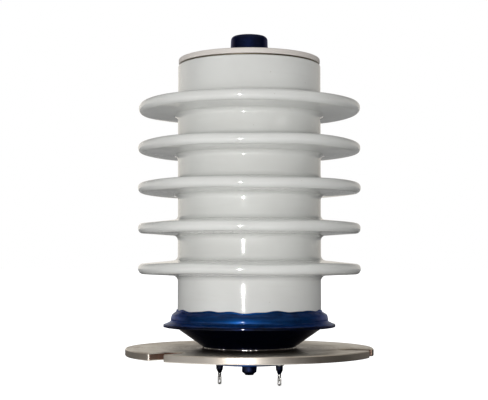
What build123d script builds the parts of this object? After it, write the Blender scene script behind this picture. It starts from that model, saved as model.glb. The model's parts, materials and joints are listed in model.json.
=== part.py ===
"""Ribbed porcelain insulator that is the housing of a sealed high-voltage switch tube.

A glazed porcelain tube with five sheds stands on a spun metal collar and a conical pan, which are welded
to a round mounting flange. A terminal stud leaves the top cover, and two trigger terminals and a capped
exhaust tube leave the header below the flange. Inside are the main electrodes, their vapour shields, the
trigger electrodes and a getter, all in vacuum.

Frame: +Z up the porcelain, z = 0 on the flange's underside, +X through one bolt slot and one trigger
terminal. Millimetres.
"""

import os
from math import asin, atan2, cos, hypot, radians, sin, tan

from build123d import *

# ---------------------------------------------------------------------------------------- driving sizes
GAP = 0.05  # clearance between pieces that slide together before they are brazed or welded
SHEET = 1.2  # thickness of the spun pan

# mounting flange
FLANGE_RADIUS = 86.0
FLANGE_THICKNESS = 5.0
FLANGE_EDGE = 0.6  # edge chamfer
SLOT_COUNT = 3
SLOT_WIDTH = 14.0
SLOT_CENTRE_RADIUS = 70.0  # bolt circle radius
SLOT_EDGE = 1.5  # rounding of the slots' mouths

# header, the disc that carries the terminals and the exhaust tube
HEADER_RADIUS = 26.0
HEADER_FLANGE_RADIUS = 28.5
HEADER_FLANGE_THICKNESS = 3.0
HEADER_DROP = 6.2  # how far it stands out below the flange
HEADER_EDGE = 0.8

# pan and collar
PAN_FOOT_RADIUS = 31.0
PAN_BEND_RADIUS = 51.5
PAN_BEND_FILLET = 4.0
FOOT_WELD_LEG = 2.0
FOOT_WELD_CROWN = 0.25
RIM_RADIUS = 60.0
RIM_WELD_WIDTH = 1.0
RIM_SEAM_Z = 20.6  # the collar's rim meets the pan's rim here
COLLAR_RIM_THICKNESS = 1.8
COLLAR_TOP_Z = 30.3
COLLAR_TOP_LAND = 0.5
COLLAR_SHOULDER_RADIUS = 54.5
COLLAR_SHOULDER_Z = 23.4
COLLAR_CROWN = 0.8  # bow of the convex upper half
COLLAR_COVE = 0.6  # bow of the concave lower half
COLLAR_LEDGE_RADIUS = 44.0  # bore of the ledge under the porcelain

# porcelain
BODY_RADIUS = 50.0
BODY_BORE_RADIUS = 42.0
BODY_BOTTOM_Z = 26.0
BODY_TOP_Z = 201.9
BODY_EDGE_FILLET = 1.2
SHED_COUNT = 5
SHED_RADIUS = 77.5
SHED_PITCH = 28.0
FIRST_SHED_Z = 59.6
SHED_RIM_ROUND = 3.7
SHED_TOP_SLOPE = 5.7
SHED_UNDER_SLOPE = 3.0
SHED_ROOT_CHAMFER = 3.0

# top end
SEAL_THICKNESS = 1.0
TOP_SEAL_RADIUS = 49.0
COVER_RADIUS = 49.6
COVER_THICKNESS = 3.6
COVER_EDGE_FILLET = 1.0
STUD_FOOT_RADIUS = 13.4
STUD_HEAD_RADIUS = 12.9
STUD_TOP_Z = 223.0
STUD_EDGE_FILLET = 2.8
STUD_SHANK_RADIUS = 7.0
STUD_SHANK_LENGTH = 11.0
STUD_WASHER_RADIUS = 16.0
THREAD_RADIUS = 5.1  # M12 thread, at its core
THREAD_DEPTH = 16.0
COUNTERSINK_RADIUS = 6.1

# electrodes
MAIN_GAP = 12.0
CATHODE_FACE_Z = 108.0
CATHODE_RADIUS = 27.0
CATHODE_THICKNESS = 12.0
ANODE_RADIUS = 24.0
ANODE_THICKNESS = 14.0
ELECTRODE_EDGE = 4.0
POST_RADIUS = 10.0
POST_BORE_RADIUS = 6.5
POST_SPIGOT_RADIUS = 8.8
VENT_RADIUS = 2.5
STEM_RADIUS = 9.0
STEM_SPIGOT_RADIUS = 6.0
SPIGOT_LENGTH = 4.0  # how far the stem and the post each reach into their electrode
SHIELD_SHEET = 1.0
CATHODE_SHIELD_RADIUS = 29.5
CATHODE_SHIELD_BOTTOM_Z = 78.0
CATHODE_SHIELD_TOP_Z = 114.0
ANODE_SHIELD_RADIUS = 37.0
ANODE_SHIELD_BOTTOM_Z = 96.0
ANODE_SHIELD_TOP_Z = 184.0
SHIELD_BEND = 3.0
SHIELD_LIP = 1.3  # radius of the rolled lip on each shield's open edge

# trigger terminals
TERMINAL_RADIUS = 21.5  # distance of each terminal from the axis
ROD_RADIUS = 0.8
EYELET_RADIUS = 3.3
EYELET_LIP = 0.8  # how far the eyelet stands out below the header
BEAD_RADIUS = 2.45
BEAD_TIP_RADIUS = 1.35
BEAD_STRAIGHT_BOTTOM_Z = -10.4
BEAD_BOTTOM_Z = -12.9
SLEEVE_RADIUS = 3.0
SLEEVE_BOTTOM_Z = 9.0
ROD_TOP_Z = 109.5
TAG_TIP_Z = -21.0
TAG_WIDTH = 2.6
TAG_THICKNESS = 1.0
TAG_EYE_WIDTH = 1.1
TAG_EYE_LENGTH = 3.8
TAG_EYE_HEIGHT = 3.3  # the eye's middle above the tip
TAG_BARREL_LENGTH = 1.6
TAG_BARREL_RADIUS = 1.25

# exhaust tube and its cap
EXHAUST_RADIUS = 4.0
EXHAUST_BORE_RADIUS = 3.0
EXHAUST_ROUND_BOTTOM_Z = -7.0
EXHAUST_PINCH_Z = -11.2
EXHAUST_PINCH_THICKNESS = 1.0
CAP_RADIUS = 5.15
CAP_BORE_RADIUS = 4.35
CAP_NOSE_RADIUS = 2.9
CAP_BOTTOM_Z = -14.0
CAP_NOSE_HEIGHT = 2.3
CAP_BORE_BOTTOM_Z = -11.9

# getter
GETTER_RADIUS = 15.5
GETTER_Z = 22.0
GETTER_WIDTH = 3.2
GETTER_HEIGHT = 2.4
GETTER_WALL = 0.4
GETTER_LEG_COUNT = 4
GETTER_LEG_RADIUS = 0.6

# ----------------------------------------------------------------------------------------- worked out
flange_top = FLANGE_THICKNESS
header_top = flange_top + HEADER_FLANGE_THICKNESS
pan_rim_z = RIM_SEAM_Z - SHEET / 2
cover_bottom = BODY_TOP_Z + SEAL_THICKNESS
cover_top = cover_bottom + COVER_THICKNESS
shank_bottom = cover_top - STUD_SHANK_LENGTH
cathode_bottom = CATHODE_FACE_Z - CATHODE_THICKNESS
anode_face = CATHODE_FACE_Z + MAIN_GAP
anode_top = anode_face + ANODE_THICKNESS
stem_top = cover_bottom - SEAL_THICKNESS
barrel_bottom = BEAD_BOTTOM_Z - TAG_BARREL_LENGTH
top_slope = radians(SHED_TOP_SLOPE)
under_slope = radians(SHED_UNDER_SLOPE)
terminal_sides = {"right": 1, "left": -1}
STANDING = (Align.CENTER, Align.CENTER, Align.MIN)

os.makedirs("parts", exist_ok=True)


def write(part, name):
    """Labels a finished piece and writes it as parts/NAME.step."""
    part.label = name
    export_step(part, f"parts/{name}.step")


# ------------------------------------------------------------------------------------------ porcelain
# The porcelain is one fired piece. It is written as a tube and its sheds, which meet at BODY_RADIUS.
with BuildPart() as porcelain_tube:
    with BuildSketch(Plane.XY.offset(BODY_BOTTOM_Z)):
        Circle(BODY_RADIUS)
        Circle(BODY_BORE_RADIUS, mode=Mode.SUBTRACT)
    extrude(amount=BODY_TOP_Z - BODY_BOTTOM_Z)
    fillet(porcelain_tube.edges().group_by(Axis.Z)[-1].sort_by(SortBy.LENGTH)[-1], BODY_EDGE_FILLET)
write(porcelain_tube.part, "porcelain_tube")

rim_centre = SHED_RADIUS - SHED_RIM_ROUND
crease_x = BODY_RADIUS + SHED_ROOT_CHAMFER
for shed in range(SHED_COUNT):
    z = FIRST_SHED_Z + shed * SHED_PITCH
    top = (rim_centre + SHED_RIM_ROUND * sin(top_slope), z + SHED_RIM_ROUND * cos(top_slope))
    under = (rim_centre + SHED_RIM_ROUND * sin(under_slope), z - SHED_RIM_ROUND * cos(under_slope))
    crease_top_z = top[1] + (top[0] - crease_x) * tan(top_slope)
    crease_under_z = under[1] - (under[0] - crease_x) * tan(under_slope)
    with BuildPart() as porcelain_shed:
        with BuildSketch(Plane.XZ):
            with BuildLine():
                Polyline(
                    under,
                    (crease_x, crease_under_z),
                    (BODY_RADIUS, crease_under_z - SHED_ROOT_CHAMFER),
                    (BODY_RADIUS, crease_top_z + SHED_ROOT_CHAMFER),
                    (crease_x, crease_top_z),
                    top,
                )
                ThreePointArc(top, (SHED_RADIUS, z), under)
            make_face()
        revolve(axis=Axis.Z)
    write(porcelain_shed.part, f"porcelain_shed_{shed + 1}")

# ------------------------------------------------------------------------------------------- top end
with BuildPart() as top_seal_ring:
    with BuildSketch(Plane.XY.offset(BODY_TOP_Z)):
        Circle(TOP_SEAL_RADIUS)
        Circle(BODY_BORE_RADIUS, mode=Mode.SUBTRACT)
    extrude(amount=SEAL_THICKNESS)
write(top_seal_ring.part, "top_seal_ring")

with BuildPart() as top_cover:
    with BuildSketch(Plane.XY.offset(cover_bottom)):
        Circle(COVER_RADIUS)
        Circle(STUD_SHANK_RADIUS + GAP, mode=Mode.SUBTRACT)
    extrude(amount=COVER_THICKNESS)
    fillet(top_cover.edges().group_by(Axis.Z)[-1].sort_by(SortBy.LENGTH)[-1], COVER_EDGE_FILLET)
write(top_cover.part, "top_cover")

with BuildPart() as terminal_stud:
    with BuildSketch(Plane.XZ) as stud_section:
        with BuildLine():
            Polyline(
                (0, shank_bottom),
                (STUD_SHANK_RADIUS, shank_bottom),
                (STUD_SHANK_RADIUS, cover_top),
                (STUD_FOOT_RADIUS, cover_top),
                (STUD_HEAD_RADIUS, STUD_TOP_Z),
                (0, STUD_TOP_Z),
                (0, shank_bottom),
            )
        make_face()
        fillet(stud_section.vertices().group_by(Axis.Y)[-1].sort_by(Axis.X)[-1], STUD_EDGE_FILLET)
    revolve(axis=Axis.Z)
    with Locations((0, 0, STUD_TOP_Z)):
        CounterSinkHole(THREAD_RADIUS, COUNTERSINK_RADIUS, depth=THREAD_DEPTH, counter_sink_angle=90)
write(terminal_stud.part, "terminal_stud")

with BuildPart() as stud_seal_washer:
    with BuildSketch(Plane.XY.offset(stem_top)):
        Circle(STUD_WASHER_RADIUS)
        Circle(STUD_SHANK_RADIUS + GAP, mode=Mode.SUBTRACT)
    extrude(amount=SEAL_THICKNESS)
write(stud_seal_washer.part, "stud_seal_washer")

# ------------------------------------------------------------------------------------------- anode side
with BuildPart() as anode_stem:
    with BuildSketch(Plane.XY.offset(anode_top)):
        Circle(STEM_RADIUS)
    extrude(amount=stem_top - anode_top)
    with BuildSketch(Plane.XY.offset(anode_top)):
        Circle(STEM_SPIGOT_RADIUS)
    extrude(amount=-SPIGOT_LENGTH)
    with BuildSketch(Plane.XY.offset(shank_bottom)):
        Circle(STUD_SHANK_RADIUS + GAP)
    extrude(amount=stem_top - shank_bottom, mode=Mode.SUBTRACT)
write(anode_stem.part, "anode_stem")

with BuildPart() as anode_electrode:
    with BuildSketch(Plane.XY.offset(anode_face)):
        Circle(ANODE_RADIUS)
    extrude(amount=ANODE_THICKNESS)
    fillet(anode_electrode.edges().filter_by(GeomType.CIRCLE), ELECTRODE_EDGE)
    with BuildSketch(Plane.XY.offset(anode_top - SPIGOT_LENGTH)):
        Circle(STEM_SPIGOT_RADIUS + GAP)
    extrude(amount=SPIGOT_LENGTH, mode=Mode.SUBTRACT)
write(anode_electrode.part, "anode_electrode")

with BuildPart() as anode_shield:
    shield_wall = ANODE_SHIELD_RADIUS - SHIELD_SHEET / 2
    with BuildSketch(Plane.XZ):
        with BuildLine():
            FilletPolyline(
                (STEM_RADIUS + GAP, ANODE_SHIELD_TOP_Z),
                (shield_wall, ANODE_SHIELD_TOP_Z),
                (shield_wall, ANODE_SHIELD_BOTTOM_Z + SHIELD_LIP),
                radius=SHIELD_BEND,
            )
        trace(line_width=SHIELD_SHEET)
        with Locations((shield_wall, ANODE_SHIELD_BOTTOM_Z + SHIELD_LIP)):
            Circle(SHIELD_LIP)
    revolve(axis=Axis.Z)
write(anode_shield.part, "anode_shield")

# ----------------------------------------------------------------------------------------- cathode side
with BuildPart() as cathode_post:
    with BuildSketch(Plane.XY.offset(header_top)):
        Circle(POST_RADIUS)
        Circle(POST_BORE_RADIUS, mode=Mode.SUBTRACT)
    extrude(amount=cathode_bottom - header_top)
    with BuildSketch(Plane.XY.offset(cathode_bottom)):
        Circle(POST_SPIGOT_RADIUS)
        Circle(POST_BORE_RADIUS, mode=Mode.SUBTRACT)
    extrude(amount=SPIGOT_LENGTH)
    vent_z = header_top + 2 * VENT_RADIUS
    with Locations(Plane.XZ.offset(-POST_RADIUS - GAP)):
        with Locations((0, vent_z)):
            Hole(VENT_RADIUS, depth=2 * POST_RADIUS + 2 * GAP)
write(cathode_post.part, "cathode_post")

with BuildPart() as cathode_electrode:
    with BuildSketch(Plane.XY.offset(cathode_bottom)):
        Circle(CATHODE_RADIUS)
    extrude(amount=CATHODE_THICKNESS)
    fillet(cathode_electrode.edges().group_by(Axis.Z)[-1], ELECTRODE_EDGE)
    with BuildSketch(Plane.XY.offset(cathode_bottom)):
        Circle(POST_SPIGOT_RADIUS + GAP)
    extrude(amount=SPIGOT_LENGTH, mode=Mode.SUBTRACT)
    with Locations(*[(side * TERMINAL_RADIUS, 0, CATHODE_FACE_Z) for side in terminal_sides.values()]):
        Hole(SLEEVE_RADIUS + GAP, depth=CATHODE_THICKNESS)
write(cathode_electrode.part, "cathode_electrode")

with BuildPart() as cathode_shield:
    shield_wall = CATHODE_SHIELD_RADIUS - SHIELD_SHEET / 2
    with BuildSketch(Plane.XZ):
        with BuildLine():
            FilletPolyline(
                (POST_RADIUS + GAP, CATHODE_SHIELD_BOTTOM_Z),
                (shield_wall, CATHODE_SHIELD_BOTTOM_Z),
                (shield_wall, CATHODE_SHIELD_TOP_Z - SHIELD_LIP),
                radius=SHIELD_BEND,
            )
        trace(line_width=SHIELD_SHEET)
        with Locations((shield_wall, CATHODE_SHIELD_TOP_Z - SHIELD_LIP)):
            Circle(SHIELD_SHEET)
    revolve(axis=Axis.Z)
    with Locations(
        *[
            (side * TERMINAL_RADIUS, 0, CATHODE_SHIELD_BOTTOM_Z + SHIELD_SHEET)
            for side in terminal_sides.values()
        ]
    ):
        Hole(SLEEVE_RADIUS + GAP, depth=2 * SHIELD_SHEET)
write(cathode_shield.part, "cathode_shield")

# ------------------------------------------------------------------------------------------ lower shells
seam_radius = RIM_RADIUS - RIM_WELD_WIDTH
with BuildPart() as collar_ring:
    with BuildSketch(Plane.XZ):
        with BuildLine():
            top_edge = (BODY_RADIUS + COLLAR_TOP_LAND, COLLAR_TOP_Z)
            shoulder = (COLLAR_SHOULDER_RADIUS, COLLAR_SHOULDER_Z)
            rim_top = (seam_radius, RIM_SEAM_Z + COLLAR_RIM_THICKNESS)
            SagittaArc(top_edge, shoulder, COLLAR_CROWN)
            SagittaArc(shoulder, rim_top, -COLLAR_COVE)
            ledge_z = BODY_BOTTOM_Z - SEAL_THICKNESS
            Polyline(
                rim_top,
                (seam_radius, RIM_SEAM_Z),
                (COLLAR_LEDGE_RADIUS, RIM_SEAM_Z),
                (COLLAR_LEDGE_RADIUS, ledge_z),
                (BODY_RADIUS, ledge_z),
                (BODY_RADIUS, COLLAR_TOP_Z),
                top_edge,
            )
        make_face()
    revolve(axis=Axis.Z)
write(collar_ring.part, "collar_ring")

with BuildPart() as base_seal_ring:
    with BuildSketch(Plane.XY.offset(BODY_BOTTOM_Z - SEAL_THICKNESS)):
        Circle(BODY_RADIUS)
        Circle(COLLAR_LEDGE_RADIUS, mode=Mode.SUBTRACT)
    extrude(amount=SEAL_THICKNESS)
write(base_seal_ring.part, "base_seal_ring")

# the cone's outer surface meets the flange's top at PAN_FOOT_RADIUS
cone_run = PAN_BEND_RADIUS - PAN_FOOT_RADIUS
cone_rise = pan_rim_z - flange_top
cone_angle = atan2(cone_rise, cone_run) - asin(SHEET / 2 / hypot(cone_run, cone_rise))
with BuildPart() as lower_pan:
    with BuildSketch(Plane.XZ):
        with BuildLine():
            foot_x = PAN_BEND_RADIUS - (cone_rise + SHEET) / tan(cone_angle)
            FilletPolyline(
                (seam_radius, pan_rim_z),
                (PAN_BEND_RADIUS, pan_rim_z),
                (foot_x, flange_top - SHEET),
                radius=PAN_BEND_FILLET,
            )
        trace(line_width=SHEET)
        with Locations((foot_x, flange_top)):
            Rectangle(PAN_FOOT_RADIUS, SHEET * 2, align=(Align.CENTER, Align.MAX), mode=Mode.SUBTRACT)
    revolve(axis=Axis.Z)
write(lower_pan.part, "lower_pan")

with BuildPart() as rim_weld:
    with BuildSketch(Plane.XZ):
        with BuildLine():
            seam_bottom = (seam_radius, RIM_SEAM_Z - SHEET)
            seam_top = (seam_radius, RIM_SEAM_Z + COLLAR_RIM_THICKNESS)
            crown = (RIM_RADIUS, (seam_bottom[1] + seam_top[1]) / 2)
            ThreePointArc(seam_bottom, crown, seam_top)
            Line(seam_top, seam_bottom)
        make_face()
    revolve(axis=Axis.Z)
write(rim_weld.part, "rim_weld")

with BuildPart() as foot_weld:
    with BuildSketch(Plane.XZ):
        with BuildLine():
            root = (PAN_FOOT_RADIUS + GAP, flange_top)
            on_flange = (root[0] + FOOT_WELD_LEG, flange_top)
            on_pan = (
                root[0] + FOOT_WELD_LEG * cos(cone_angle),
                flange_top + FOOT_WELD_LEG * sin(cone_angle),
            )
            Polyline(on_flange, root, on_pan)
            SagittaArc(on_pan, on_flange, FOOT_WELD_CROWN)
        make_face()
    revolve(axis=Axis.Z)
write(foot_weld.part, "foot_weld")

# -------------------------------------------------------------------------------------- mounting flange
with BuildPart() as mounting_flange:
    with BuildSketch() as flange_outline:
        Circle(FLANGE_RADIUS)
        Circle(HEADER_RADIUS + GAP, mode=Mode.SUBTRACT)
        slot_reach = FLANGE_RADIUS - SLOT_CENTRE_RADIUS + SLOT_WIDTH
        with PolarLocations(SLOT_CENTRE_RADIUS, SLOT_COUNT):
            Circle(SLOT_WIDTH / 2, mode=Mode.SUBTRACT)
            Rectangle(slot_reach, SLOT_WIDTH, align=(Align.MIN, Align.CENTER), mode=Mode.SUBTRACT)
        rim_vertices = flange_outline.vertices().filter_by(lambda v: hypot(v.X, v.Y) > FLANGE_RADIUS - GAP)
        fillet(rim_vertices, SLOT_EDGE)
    extrude(amount=FLANGE_THICKNESS)
    outer_edges = ShapeList()
    for face in mounting_flange.faces().filter_by(Axis.Z):
        outer_edges += face.outer_wire().edges()
    chamfer(outer_edges, FLANGE_EDGE)
write(mounting_flange.part, "mounting_flange")

# ---------------------------------------------------------------------------------------------- header
with BuildPart() as header:
    with BuildSketch(Plane.XZ) as header_section:
        with BuildLine():
            Polyline(
                (0, -HEADER_DROP),
                (HEADER_RADIUS, -HEADER_DROP),
                (HEADER_RADIUS, flange_top),
                (HEADER_FLANGE_RADIUS, flange_top),
                (HEADER_FLANGE_RADIUS, header_top),
                (0, header_top),
                (0, -HEADER_DROP),
            )
        make_face()
        fillet(header_section.vertices().group_by(Axis.Y)[0].sort_by(Axis.X)[-1], HEADER_EDGE)
    revolve(axis=Axis.Z)
    with Locations((0, 0, header_top)):
        Hole(EXHAUST_RADIUS + GAP, depth=header_top + HEADER_DROP)
    with Locations(*[(side * TERMINAL_RADIUS, 0, header_top) for side in terminal_sides.values()]):
        Hole(EYELET_RADIUS + GAP, depth=header_top + HEADER_DROP)
write(header.part, "header")

# ------------------------------------------------------------------------------------ trigger terminals
for side_name, side in terminal_sides.items():
    centre_x = side * TERMINAL_RADIUS

    with BuildPart() as eyelet:
        with BuildSketch(Plane.XY.offset(-HEADER_DROP - EYELET_LIP)):
            with Locations((centre_x, 0)):
                Circle(EYELET_RADIUS)
                Circle(BEAD_RADIUS + GAP, mode=Mode.SUBTRACT)
        extrude(amount=header_top + HEADER_DROP + EYELET_LIP)
    write(eyelet.part, f"terminal_eyelet_{side_name}")

    with BuildPart() as bead:
        with Locations((centre_x, 0, BEAD_STRAIGHT_BOTTOM_Z)):
            Cylinder(BEAD_RADIUS, header_top - BEAD_STRAIGHT_BOTTOM_Z, align=STANDING)
        with Locations((centre_x, 0, BEAD_BOTTOM_Z)):
            Cone(BEAD_TIP_RADIUS, BEAD_RADIUS, BEAD_STRAIGHT_BOTTOM_Z - BEAD_BOTTOM_Z, align=STANDING)
        with Locations((centre_x, 0, header_top)):
            Hole(ROD_RADIUS + GAP, depth=header_top - BEAD_BOTTOM_Z)
    write(bead.part, f"terminal_bead_{side_name}")

    with BuildPart() as rod:
        with Locations((centre_x, 0, barrel_bottom)):
            Cylinder(ROD_RADIUS, ROD_TOP_Z - barrel_bottom, align=STANDING)
    write(rod.part, f"trigger_rod_{side_name}")

    with BuildPart() as sleeve:
        with BuildSketch(Plane.XY.offset(SLEEVE_BOTTOM_Z)):
            with Locations((centre_x, 0)):
                Circle(SLEEVE_RADIUS)
                Circle(ROD_RADIUS + GAP, mode=Mode.SUBTRACT)
        extrude(amount=CATHODE_FACE_Z - SLEEVE_BOTTOM_Z)
    write(sleeve.part, f"trigger_sleeve_{side_name}")

    with BuildPart() as tag:
        with BuildSketch(Plane.XY.offset(barrel_bottom)):
            with Locations((centre_x, 0)):
                Circle(TAG_BARREL_RADIUS)
                Circle(ROD_RADIUS + GAP, mode=Mode.SUBTRACT)
        extrude(amount=TAG_BARREL_LENGTH)
        with BuildSketch(Plane.XZ):
            with Locations((centre_x, (barrel_bottom + TAG_TIP_Z) / 2)):
                SlotOverall(barrel_bottom - TAG_TIP_Z, TAG_WIDTH, rotation=90)
            with Locations((centre_x, barrel_bottom)):
                Rectangle(TAG_WIDTH, TAG_WIDTH / 2, align=(Align.CENTER, Align.MAX))
            with Locations((centre_x, TAG_TIP_Z + TAG_EYE_HEIGHT)):
                SlotOverall(TAG_EYE_LENGTH, TAG_EYE_WIDTH, rotation=90, mode=Mode.SUBTRACT)
        extrude(amount=TAG_THICKNESS / 2, both=True)
    write(tag.part, f"solder_tag_{side_name}")

# ----------------------------------------------------------------------------------------- exhaust tube
with BuildPart() as exhaust_tube:
    with Locations((0, 0, EXHAUST_ROUND_BOTTOM_Z)):
        Cylinder(EXHAUST_RADIUS, header_top - EXHAUST_ROUND_BOTTOM_Z, align=STANDING)
    with BuildSketch(Plane.XY.offset(EXHAUST_ROUND_BOTTOM_Z)):
        Circle(EXHAUST_RADIUS)
    with BuildSketch(Plane.XY.offset(EXHAUST_PINCH_Z)):
        Ellipse(EXHAUST_RADIUS, EXHAUST_PINCH_THICKNESS / 2)
    loft()
    with Locations((0, 0, header_top)):
        Hole(EXHAUST_BORE_RADIUS, depth=header_top - EXHAUST_ROUND_BOTTOM_Z)
write(exhaust_tube.part, "exhaust_tube")

with BuildPart() as exhaust_cap:
    with BuildSketch(Plane.XZ):
        with BuildLine():
            Polyline(
                (CAP_BORE_RADIUS, -HEADER_DROP),
                (CAP_RADIUS, -HEADER_DROP),
                (CAP_RADIUS, CAP_BOTTOM_Z + CAP_NOSE_HEIGHT),
                (CAP_NOSE_RADIUS, CAP_BOTTOM_Z),
                (0, CAP_BOTTOM_Z),
                (0, CAP_BORE_BOTTOM_Z),
                (CAP_BORE_RADIUS, CAP_BORE_BOTTOM_Z),
                (CAP_BORE_RADIUS, -HEADER_DROP),
            )
        make_face()
    revolve(axis=Axis.Z)
write(exhaust_cap.part, "exhaust_cap")

# ---------------------------------------------------------------------------------------------- getter
with BuildPart() as getter_channel:
    with BuildSketch(Plane.XZ):
        with Locations((GETTER_RADIUS, GETTER_Z)):
            Rectangle(GETTER_WIDTH, GETTER_HEIGHT)
        with Locations((GETTER_RADIUS, GETTER_Z + GETTER_HEIGHT / 2)):
            Rectangle(
                GETTER_WIDTH - 2 * GETTER_WALL,
                GETTER_HEIGHT - GETTER_WALL,
                align=(Align.CENTER, Align.MAX),
                mode=Mode.SUBTRACT,
            )
    revolve(axis=Axis.Z)
write(getter_channel.part, "getter_channel")

with BuildPart() as getter_fill:
    with BuildSketch(Plane.XZ):
        with Locations((GETTER_RADIUS, GETTER_Z - GETTER_HEIGHT / 2 + GETTER_WALL)):
            Rectangle(
                GETTER_WIDTH - 2 * GETTER_WALL,
                GETTER_HEIGHT - 2 * GETTER_WALL,
                align=(Align.CENTER, Align.MIN),
            )
    revolve(axis=Axis.Z)
write(getter_fill.part, "getter_fill")

with BuildPart() as getter_legs:
    with BuildSketch(Plane.XY.offset(header_top)):
        with PolarLocations(GETTER_RADIUS, GETTER_LEG_COUNT, start_angle=180 / GETTER_LEG_COUNT):
            Circle(GETTER_LEG_RADIUS)
    extrude(amount=GETTER_Z - GETTER_HEIGHT / 2 - header_top)
write(getter_legs.part, "getter_legs")
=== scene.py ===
"""Looks of the porcelain switch-tube insulator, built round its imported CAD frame.

Every piece is in metres in the CAD's frame: +Z up the porcelain, z = 0 on the flange's underside, +X
through one bolt slot. Nothing on the object moves, so every piece rides on the one body, "root".
"""

import json
from math import cos, hypot, pi, radians, sin, sqrt, tan
from random import Random

import bmesh
import bpy
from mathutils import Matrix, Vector


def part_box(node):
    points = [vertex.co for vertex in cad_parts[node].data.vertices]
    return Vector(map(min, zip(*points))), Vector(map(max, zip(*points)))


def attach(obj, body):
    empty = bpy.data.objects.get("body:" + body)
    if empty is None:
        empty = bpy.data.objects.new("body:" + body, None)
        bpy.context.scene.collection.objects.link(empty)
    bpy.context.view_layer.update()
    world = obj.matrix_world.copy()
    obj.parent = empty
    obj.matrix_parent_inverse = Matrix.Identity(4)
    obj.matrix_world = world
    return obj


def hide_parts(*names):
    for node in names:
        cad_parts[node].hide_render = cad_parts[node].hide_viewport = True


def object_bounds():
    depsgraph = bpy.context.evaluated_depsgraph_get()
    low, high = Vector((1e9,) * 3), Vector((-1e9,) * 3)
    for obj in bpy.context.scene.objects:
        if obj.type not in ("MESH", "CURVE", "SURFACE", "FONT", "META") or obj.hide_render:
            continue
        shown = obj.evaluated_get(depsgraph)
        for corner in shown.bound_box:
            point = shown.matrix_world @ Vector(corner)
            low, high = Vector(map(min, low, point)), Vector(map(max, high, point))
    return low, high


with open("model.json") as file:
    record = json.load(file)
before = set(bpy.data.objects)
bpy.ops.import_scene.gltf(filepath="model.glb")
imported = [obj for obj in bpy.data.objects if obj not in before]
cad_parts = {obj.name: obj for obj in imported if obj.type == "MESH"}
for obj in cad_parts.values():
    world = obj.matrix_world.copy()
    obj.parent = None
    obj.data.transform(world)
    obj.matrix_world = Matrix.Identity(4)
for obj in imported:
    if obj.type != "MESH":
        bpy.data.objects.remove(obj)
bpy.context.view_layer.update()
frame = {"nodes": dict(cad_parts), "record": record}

MM = 0.001
TURN = 2 * pi
FLANGE_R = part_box("mounting_flange")[1].y
FOOT_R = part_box("foot_weld")[1].x

# ------------------------------------------------------------------------------------------- shader helpers


class Nodes:
    """A node tree, with short calls for the nodes that this scene needs."""

    def __init__(self, tree, coordinates="Object"):
        self.tree = tree
        self.coordinates = self.node("ShaderNodeTexCoord").outputs[coordinates]

    def node(self, kind, **settings):
        made = self.tree.nodes.new(kind)
        for key, value in settings.items():
            setattr(made, key, value)
        return made

    def feed(self, socket, value):
        """Links an output to a socket, or sets the socket to a plain value."""
        if isinstance(value, bpy.types.NodeSocket):
            self.tree.links.new(value, socket)
        else:
            socket.default_value = value

    def math(self, operation, a, b=0.0):
        made = self.node("ShaderNodeMath", operation=operation)
        self.feed(made.inputs[0], a)
        self.feed(made.inputs[1], b)
        return made.outputs[0]

    def span(self, value, low, high, to_low=0.0, to_high=1.0):
        """Maps low..high to to_low..to_high, clamped."""
        made = self.node("ShaderNodeMapRange", interpolation_type="SMOOTHSTEP")
        self.feed(made.inputs["Value"], value)
        made.inputs["From Min"].default_value = low
        made.inputs["From Max"].default_value = high
        made.inputs["To Min"].default_value = to_low
        made.inputs["To Max"].default_value = to_high
        return made.outputs["Result"]

    def along(self, vector, direction):
        """How far a vector reaches along a fixed direction."""
        made = self.node("ShaderNodeVectorMath", operation="DOT_PRODUCT")
        self.feed(made.inputs[0], vector)
        made.inputs[1].default_value = direction
        return made.outputs["Value"]

    def blend(self, fac, a, b):
        """Colour a at fac 0 and b at fac 1."""
        made = self.node("ShaderNodeMix", data_type="RGBA")
        self.feed(made.inputs["Factor"], fac)
        self.feed(made.inputs["A"], a if isinstance(a, bpy.types.NodeSocket) else (*a, 1.0))
        self.feed(made.inputs["B"], b if isinstance(b, bpy.types.NodeSocket) else (*b, 1.0))
        return made.outputs["Result"]


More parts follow.
